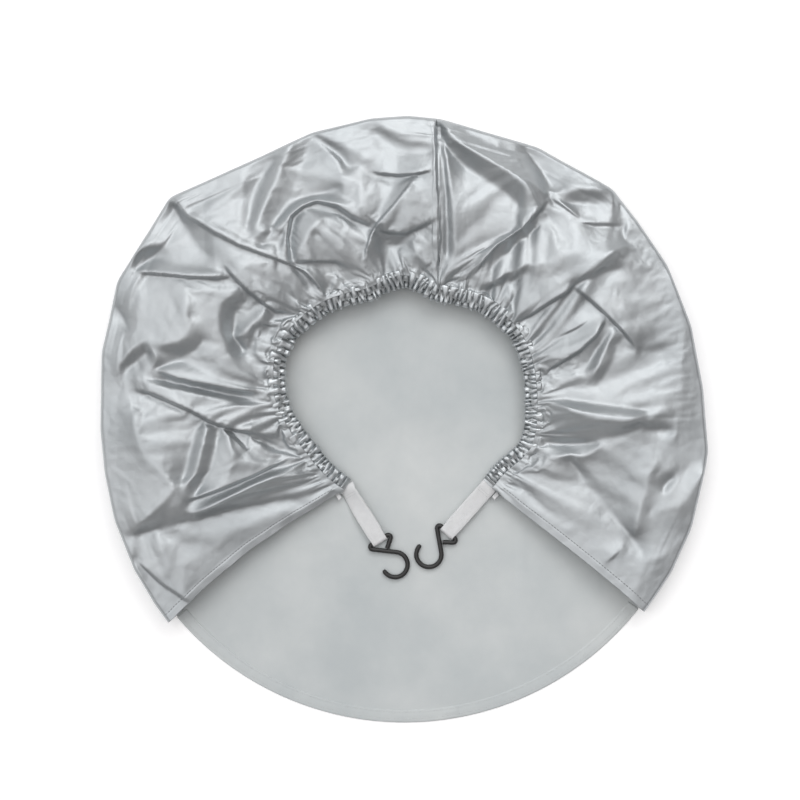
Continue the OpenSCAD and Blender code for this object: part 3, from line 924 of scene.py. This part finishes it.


# The gathered copy has painted shade in its tucks and a painted highlight on its puffs.
SILVER, GATHERED_PAINTED_SHADE = silver_cloth("silver_cloth"), silver_cloth("silver_cloth_gathered_painted_shade", True)
LINING, ELASTIC, WIRE = lining_cloth(), white_elastic(), coated_wire()
THREAD = thread("grey_thread", (0.42, 0.44, 0.44), (0.62, 0.64, 0.64))
# The hem's stitches are real thread. Their dark colour is painted shade of the stitch holes.
HEM_THREAD_PAINTED_SHADE = thread("hem_thread_painted_shade", (0.15, 0.16, 0.165), (0.27, 0.28, 0.285))


# Pieces: skirt

left_points, right_points = laid[:, at_seam:].copy(), laid[:, : at_seam + 1].copy()
left = skirt("skirt_left_cloth", left_points, US[at_seam:], True)
right = skirt("skirt_right_cloth", right_points, US[: at_seam + 1], False)
finish_piece(left, SILVER, "cover", "silver_cloth", "skirt_left")
finish_piece(right, SILVER, "cover", "silver_cloth", "skirt_right")


def hem_stitches(side, points, last):
    """Stitches along the turned hem, a little in from the skirt's first or last column, row by row."""
    line = []
    for row in points[18:-4]:
        row = row[::-1] if last else row
        line.append([np.interp(HEM_INSET, run(row), row[:, k]) for k in range(3)])
    line = np.array(line) + [0, 0, 0.25]
    row = stitches(side + "_hem_stitches", line, (0, 0, 1.0), 4.2, 2.9, 0.4)
    return finish_piece(row, HEM_THREAD_PAINTED_SHADE, "cover", "silver_cloth")


left_hem = hem_stitches("left", left_points, True)
right_hem = hem_stitches("right", right_points, False)

# Pieces: casing and elastic


def squared(x, power):
    """A cosine or sine drawn out towards the corners of a flat section."""
    return math.copysign(abs(x) ** power, x)


us = np.linspace(0, 1, 1200)
point, wide, tall = mouth_frame(us)
SIDES = 32
psi = 2 * np.pi * np.arange(SIDES) / SIDES
calm = ease(np.minimum(us, 1 - us) / 0.012)
outer, bore, puffs = [], [], []
for k in psi:
    across, above = math.cos(k), math.sin(k)
    width = squared(across, 0.7)
    puff = bead(us, 10.9 * width) * calm
    # Puff heights kept for the casing's painted shade in the tucks and painted highlight on the puffs.
    puffs.append(mix(0.5, puff, calm))
    c = (10.9 + 1.4 * puff) * width
    h = (2.0 + (5.2 - 3.2 * width if above > 0 else 1.6) * puff) * squared(above, 0.7)
    outer.append(point + wide * c[:, None] + tall * h[:, None])
    bore.append(point + wide * (10.7 * squared(across, 0.3)) + tall * (1.3 * squared(above, 0.3)))
outer, bore = np.stack(outer, 1), np.stack(bore, 1)
n = len(us)
ends = []
for j in range(SIDES):
    k = (j + 1) % SIDES
    ends.append((n * SIDES + j, n * SIDES + k, k, j))
    ends.append(((n - 1) * SIDES + j, (n - 1) * SIDES + k, (2 * n - 1) * SIDES + k, (2 * n - 1) * SIDES + j))
faces = np.concatenate([grid_faces(n, SIDES, True, 0, True), grid_faces(n, SIDES, True, n * SIDES),
                        np.array(ends)[:, ::-1]])
length = run(point)
uv = np.stack(np.broadcast_arrays(length[:, None], (psi * 8)[None, :]), -1).reshape(-1, 2)
casing = make("elastic_casing_cloth", np.concatenate([outer.reshape(-1, 3), bore.reshape(-1, 3)]), faces,
              np.concatenate([uv, uv]))
# Attribute that drives the casing's painted shade in the tucks and painted highlight on the puffs.
tuck_painted_shade = casing.data.attributes.new("tuck_painted_shade", "FLOAT", "POINT")
painted_shade_values = np.concatenate([np.stack(puffs, 1).ravel(), np.zeros(n * SIDES)])
tuck_painted_shade.data.foreach_set("value", painted_shade_values.astype(np.float32))
finish_piece(casing, GATHERED_PAINTED_SHADE, "cover", "silver_cloth", "elastic_casing")
mouth_length = float(length[-1])

band_u = np.linspace(0, 1, 260)
p, w, t = mouth_frame(band_u)
section = [(-10, 0.3), (-9.6, 0.55), (0, 0.6), (9.6, 0.55), (10, 0.3)]
section += [(-c, -h) for c, h in section]
rings = np.stack([p + w * c + t * h for c, h in section], 1)
uv = np.stack(np.meshgrid([c for c, h in section], np.linspace(0, mouth_length, len(band_u))), -1)
faces = rod_faces(len(band_u), len(section))
band = make("elastic_band_woven", rings.reshape(-1, 3), faces, uv.reshape(-1, 2))
finish_piece(band, ELASTIC, "cover", "white_elastic", "elastic_band")

seam_u = np.linspace(0.01, 0.99, 900)
p, w, t = mouth_frame(seam_u)
line = p - w * 0.3 + t * (2.4 + 5.0 * bead(seam_u, -0.3))[:, None]
casing_stitch = stitches("casing_stitches", line, t, 3.4, 2.4, 0.3)
finish_piece(casing_stitch, THREAD, "cover", "silver_cloth")

# Pieces: panel and binding

PANEL_CREASES = [((280, 549), (348, 541), 0.5, 4), ((521, 512), (525, 645), 0.7, 2.5),
                 ((441, 330), (452, 470), 0.5, 3)]
COLUMNS = 300


def panel_height(x, y):
    """Slack of the panel's inner face: shallow waves, flat where the straps and hooks lie."""
    calm = ease((np.hypot(x - 12, y + 140) - 100) / 60)
    z = 1.4 * np.sin(x / 47 + 0.4) * np.sin(y / 74 + 1.1) + 0.8 * np.sin((x + y) / 31) * np.sin((x - y) / 83)
    z = calm * (1.2 + z) * 0.8
    for a, b, high, wide in PANEL_CREASES:
        a, b = place(*a), place(*b)
        d = b - a
        t = np.clip(((x - a[0]) * d[0] + (y - a[1]) * d[1]) / (d @ d), 0, 1)
        away = np.hypot(x - a[0] - t * d[0], y - a[1] - t * d[1])
        z = z + high * np.exp(-((away / wide) ** 2)) * np.sin(np.pi * t)
    return PANEL_T + z


around = 2 * np.pi * np.arange(COLUMNS) / COLUMNS
rings = []
for r in np.concatenate([np.linspace(0, 330, 90)[1:], np.linspace(332, 354.4, 10)]):
    row = ring(r, around, PANEL_T)
    row[:, 2] = mix(PANEL_T, panel_height(row[:, 0], row[:, 1]), ease((352 - r) / 30))
    rings.append(row)
for r, z in ((355.0, 0.75), (355.2, 0.5), (354.6, 0.0), (300.0, 0.0), (200.0, 0.0), (100.0, 0.0)):
    rings.append(ring(r, around, z))
rows = len(rings)
middle = float(panel_height(np.array(0.0), np.array(PANEL_Y)))
points = np.concatenate([np.concatenate(rings), [[0, PANEL_Y, middle], [0, PANEL_Y, 0]]])
faces = [tuple(f) for f in grid_faces(rows, COLUMNS, True, 0, True)]
hub = rows * COLUMNS
for j in range(COLUMNS):
    k = (j + 1) % COLUMNS
    faces.append((hub, j, k))
    faces.append((hub + 1, hub - COLUMNS + k, hub - COLUMNS + j))
panel = make("front_panel_cloth", points, faces, points[:, :2])
finish_piece(panel, LINING, "cover", "lining_cloth", "front_panel")

tape_a = np.radians(np.linspace(220.3 - 360, -38.3, 420))


def tape_rise(a, r):
    """Small puckers that the two rows of stitches pull into the binding, its joint and one pleat."""
    s = a * PANEL_R
    z = 0.16 * np.sin(s / 3.1 + 2 * np.sin(s / 23)) + 0.12 * np.sin(s / 1.9 + np.sin(s / 11))
    joint = math.atan2(*(place(452, 715) - [0, PANEL_Y])[::-1])
    pleat = math.atan2(*(place(584, 656) - [0, PANEL_Y])[::-1])
    z = z + 0.8 * ease((9 - np.abs(s - joint * PANEL_R)) / 1.2)
    return z + 0.7 * np.exp(-(((s - pleat * PANEL_R) + 0.5 * (r - 348)) / 2.2) ** 2)


# Radius, height above the panel and share of the puckers, from the inner edge over the outer one
profile = [(341.0, 0.15, 0), (341.3, 0.55, 0), (342.2, 0.8, 0.6), (343.6, 0.72, 0.5), (345.5, 0.95, 1),
           (347.5, 1.0, 1), (349.5, 0.95, 1), (351.4, 0.72, 0.5), (352.8, 0.85, 0.6), (354.4, 0.8, 0.3),
           (355.5, 0.3, 0), (356.0, -0.35, 0), (355.8, -0.85, 0)]
tape = np.stack([ring(r, tape_a, PANEL_T + z + share * tape_rise(tape_a, r)) for r, z, share in profile])
uv = np.stack(np.meshgrid(tape_a * PANEL_R, [r for r, _, _ in profile]), -1).reshape(-1, 2)
binding = make("bottom_binding_tape", tape.reshape(-1, 3), grid_faces(*tape.shape[:2], flip=True), uv)
thicken(binding, 0.25)
finish_piece(binding, LINING, "cover", "lining_cloth", "bottom_binding")
for name, r in (("binding_stitches_inner", 343.6), ("binding_stitches_outer", 351.6)):
    a = tape_a[4:-4]
    row = stitches(name, ring(r, a, PANEL_T + 0.85 + 0.5 * tape_rise(a, r)), (0, 0, 1.0))
    finish_piece(row, THREAD, "cover", "lining_cloth")

# Pieces: straps and hooks

joints = {j["name"]: j for j in frame["joints"]}


def strap_axes(side):
    """Root of a strap, its length up to the hook's bar, and its directions along and across."""
    root, bar = (np.array(joints[side + end]["pos_m"]) / MM for end in ("_strap_lift", "_hook_swing"))
    along = bar - root
    reach = np.linalg.norm(along)
    along /= reach
    across = np.cross([0, 0, 1.0], along)
    return root, reach, along, across / np.linalg.norm(across)


def strap(side, turn):
    """Elastic doubled round the hook's bar, twisted at its root, with the two tacks that hold it there."""
    root, reach, along, across = strap_axes(side)
    up = np.cross(along, across)
    fold_r, parting = 3.5, 11
    rise = math.asin((fold_r - 0.5) / (reach - parting))
    path = [(x, 0.5) for x in np.linspace(-8.5, parting, 14)]
    top_x, top_z = reach - fold_r * math.sin(rise), fold_r * math.cos(rise)
    for t in np.linspace(0, 1, 26)[1:]:
        path.append((mix(parting, top_x, t), mix(0.5, top_z, t) + 0.5 * math.sin(math.pi * t)))
    for a in np.linspace(0, math.pi + 2 * rise, 15)[1:]:
        path.append((reach + fold_r * math.sin(a - rise), fold_r * math.cos(a - rise)))
    low_x, low_z = path[-1]
    path += [(mix(low_x, parting, t), mix(low_z, -0.5, t)) for t in np.linspace(0, 1, 26)[1:]]
    path += [(x, -0.5) for x in np.linspace(parting, 1.0, 8)[1:]]
    path = np.array(path)
    step = run(path)
    d = unit(np.gradient(path, axis=0))
    normal = np.stack([-d[:, 1], d[:, 0]], -1)
    widths = mix(18.6, 20.0, np.clip((reach - 4 - path[:, 0]) / 9, 0, 1))
    twist = math.radians(turn) * (1 - ease((path[:, 0] - 4) / 42)) * ease((path[:, 0] + 8) / 8)
    shape = [(-1, 0), (-0.96, 0.36), (-0.6, 0.43), (-0.2, 0.43), (0.2, 0.43), (0.6, 0.43), (0.96, 0.36)]
    shape += [(-c, -h) for c, h in shape]
    rings, coords = [], []
    for c, h in shape:
        y = c * widths / 2
        q = path + normal * h
        y, z = y * np.cos(twist) - q[:, 1] * np.sin(twist), y * np.sin(twist) + q[:, 1] * np.cos(twist)
        rings.append(root + np.outer(q[:, 0], along) + np.outer(z, up) + np.outer(y, across))
        coords.append(np.stack([c * widths / 2, step], -1))
    rings, coords = np.stack(rings, 1), np.stack(coords, 1)
    faces = rod_faces(len(path), len(shape))
    obj = make(side + "_strap_elastic", rings.reshape(-1, 3), faces, coords.reshape(-1, 2))
    obj.data.materials.append(ELASTIC)
    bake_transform(obj)
    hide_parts(side + "_strap")
    a, y = math.radians(turn), np.linspace(-8.5, 8.5, 40)
    rows = []
    for k, x in enumerate((2.5, 5.5)):
        line = (root + along * x + np.outer(y * math.cos(a) - math.sin(a), across)
                + np.outer(y * math.sin(a) + math.cos(a), up))
        rows.append(stitches(f"{side}_strap_tack_{k}", line, up, 2.2, 1.7, 0.25))
    for o in rows:
        finish_piece(o, THREAD, side + "_strap", "white_elastic")
    return obj, rows, float(step[-1])


left_strap, left_tacks, _ = strap("left", 30)
right_strap, right_tacks, strap_length = strap("right", -8)
for side in ("left", "right"):
    hook = frame["nodes"][side + "_hook"]
    hook.data.materials.clear()
    hook.data.materials.append(WIRE)
    for poly in hook.data.polygons:
        poly.use_smooth = True


def return_end(side, away):
    """The elastic's cut end, turned back at the root of the strap and showing beside it."""
    root, _, along, across = strap_axes(side)
    xs, y = np.linspace(-7.0, 1.5, 8), np.linspace(11.2, 16.0, 8)
    rows = []
    for x in xs:
        bend = 0.02 * (y - y[0]) ** 2 + 0.05 * x
        rows.append(root + along * (x + 0.25 * (y[:, None] - y[0])) + away * across * y[:, None]
                    + np.outer(bend - 0.6, [0, 0, 1.0]))
    uv = np.stack(np.meshgrid(xs, y, indexing="ij"), -1).reshape(-1, 2)
    end = thicken(make(side + "_elastic_end", np.stack(rows).reshape(-1, 3), grid_faces(8, 8), uv), 1.0, 0.0)
    return finish_piece(end, ELASTIC, "cover", "white_elastic")


left_end, right_end = return_end("left", -1), return_end("right", 1)

# Floor, light and camera

size, z = 12.0, -0.0004
mesh = bpy.data.meshes.new("floor")
mesh.from_pydata([(-size, -size, z), (size, -size, z), (size, size, z), (-size, size, z)], [], [(0, 1, 2, 3)])
floor = added("floor", mesh)
mat, shader, add = blank("floor_white")
rays = add("LightPath").outputs
seen = rays["Is Camera Ray"]
for kind in ("Is Glossy Ray", "Is Transmission Ray"):
    seen = add("Math", seen, rays[kind], operation="MAXIMUM").outputs[0]
glow = add("Math", seen, 0.22, operation="MULTIPLY").outputs[0]
give(shader, **{"Base Color": (0.88, 0.88, 0.88, 1), "Roughness": 0.9, "Emission Color": (1, 1, 1, 1),
                "Emission Strength": glow})
floor.data.materials.append(mat)


key = bpy.data.lights.new("top_key", "AREA")
key.shape = "RECTANGLE"
key.size, key.size_y = 2.2, 1.4
key.energy = 24
lamp = added("top_key", key)
lamp.location = (0.6, 2.2, 2.4)
lamp.rotation_euler = (-lamp.location).to_track_quat("-Z", "Y").to_euler()
lamp.visible_camera = False

world = bpy.data.worlds.new("studio")
bpy.context.scene.world = world
nodes, add = nodes_of(world)
sight = add("TexCoord").outputs["Generated"]


def towards(*direction):
    """How far a line of sight points in a direction, 1 at most."""
    return add("VectorMath", sight, direction, operation="DOT_PRODUCT").outputs["Value"]


POWER = 1.88
GREYS = ((0.0, 0.16), (0.25, 0.20), (0.5, 0.31), (0.7, 0.50), (0.87, 0.74), (0.94, 0.86), (1.0, 0.93))
dome = ramp(add, towards(-0.21, 0.265, 0.941), *[(at, (v, v, v * 1.01)) for at, v in GREYS])
shade = ramp(add, towards(-0.5, 0.5, 0.5), (0.0, (0.80, 0.775, 0.765)), (0.8, (1, 1, 1)))
horizon = ramp(add, towards(0, 0, 1), (0.03, (1, 1, 1)), (0.12, (0, 0, 0)))
white = (1 / POWER, 1 / POWER, 1 / POWER, 1)
sky = mixed(add, "MIX", horizon, mixed(add, "MULTIPLY", 1.0, dome, shade), white)
give(nodes["Background"], Color=sky, Strength=POWER)

camera = bpy.data.cameras.new("camera")
camera.lens = 100
camera.sensor_width = 36
camera.clip_end = 50
eye = added("camera", camera)
eye.location = (-0.0053, 0.0226, 2.655)
eye.rotation_euler = (0, 0, 0)
bpy.context.scene.camera = eye
bpy.context.scene.view_settings.view_transform = "Standard"
